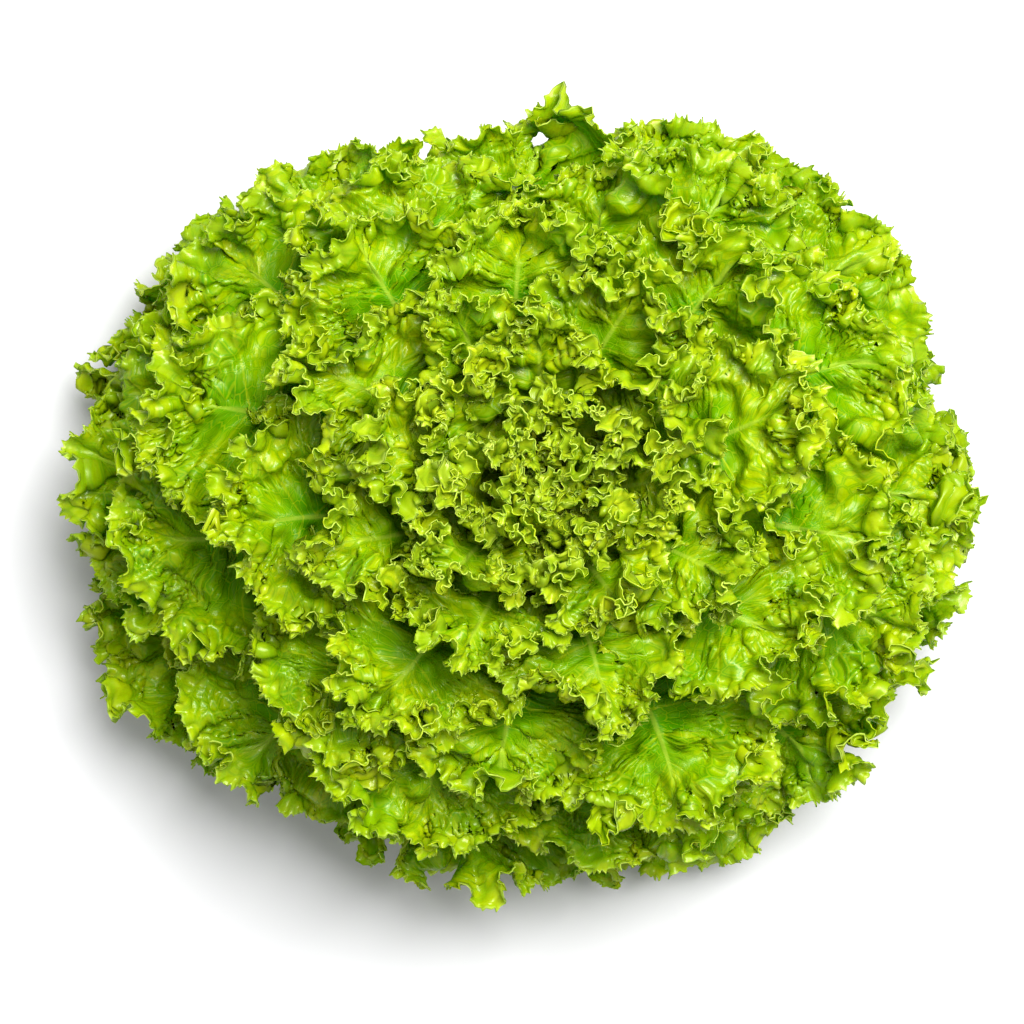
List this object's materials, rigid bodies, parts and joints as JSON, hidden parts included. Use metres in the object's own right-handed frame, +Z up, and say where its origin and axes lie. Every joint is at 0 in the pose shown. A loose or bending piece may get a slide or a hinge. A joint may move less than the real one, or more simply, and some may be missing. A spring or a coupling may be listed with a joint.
{
  "type": "head of lettuce",
  "caption": "Head of frilly green leaf lettuce with a dense curled heart, standing upright on its cut stem.",
  "frame": {"origin": "middle of the cut face under the stem, which rests on the surface", "axes": "+Z up along the stem, towards the heart. +X along the head's longer width, +Y along its shorter one"},
  "size_m": [0.2779, 0.2488, 0.1341],
  "materials": {
    "stem": "satin",
    "outer_leaf": "satin",
    "middle_leaf": "satin",
    "inner_leaf": "satin",
    "heart_leaf": "satin"
  },
  "bodies": {
    "root": {"stem": "stem", "outer_leaf_01": "outer_leaf", "outer_leaf_02": "outer_leaf", "outer_leaf_03": "outer_leaf", "outer_leaf_04": "outer_leaf", "outer_leaf_05": "outer_leaf", "outer_leaf_06": "outer_leaf", "outer_leaf_07": "outer_leaf", "outer_leaf_08": "outer_leaf", "outer_leaf_09": "outer_leaf", "outer_leaf_10": "outer_leaf", "outer_leaf_11": "outer_leaf", "outer_leaf_12": "outer_leaf", "outer_leaf_13": "outer_leaf", "outer_leaf_14": "outer_leaf", "outer_leaf_15": "outer_leaf", "outer_leaf_16": "outer_leaf", "middle_leaf_01": "middle_leaf", "middle_leaf_02": "middle_leaf", "middle_leaf_03": "middle_leaf", "middle_leaf_04": "middle_leaf", "middle_leaf_05": "middle_leaf", "middle_leaf_06": "middle_leaf", "middle_leaf_07": "middle_leaf", "middle_leaf_08": "middle_leaf", "middle_leaf_09": "middle_leaf", "middle_leaf_10": "middle_leaf", "middle_leaf_11": "middle_leaf", "middle_leaf_12": "middle_leaf", "middle_leaf_13": "middle_leaf", "middle_leaf_14": "middle_leaf", "middle_leaf_15": "middle_leaf", "middle_leaf_16": "middle_leaf", "inner_leaf_01": "inner_leaf", "inner_leaf_02": "inner_leaf", "inner_leaf_03": "inner_leaf", "inner_leaf_04": "inner_leaf", "inner_leaf_05": "inner_leaf", "inner_leaf_06": "inner_leaf", "inner_leaf_07": "inner_leaf", "inner_leaf_08": "inner_leaf", "inner_leaf_09": "inner_leaf", "inner_leaf_10": "inner_leaf", "inner_leaf_11": "inner_leaf", "inner_leaf_12": "inner_leaf", "inner_leaf_13": "inner_leaf", "inner_leaf_14": "inner_leaf", "heart_leaf_01": "heart_leaf", "heart_leaf_02": "heart_leaf", "heart_leaf_03": "heart_leaf", "heart_leaf_04": "heart_leaf", "heart_leaf_05": "heart_leaf", "heart_leaf_06": "heart_leaf", "heart_leaf_07": "heart_leaf", "heart_leaf_08": "heart_leaf", "heart_leaf_09": "heart_leaf", "heart_leaf_10": "heart_leaf", "heart_leaf_11": "heart_leaf", "heart_leaf_12": "heart_leaf"}
  },
  "joints": []
}
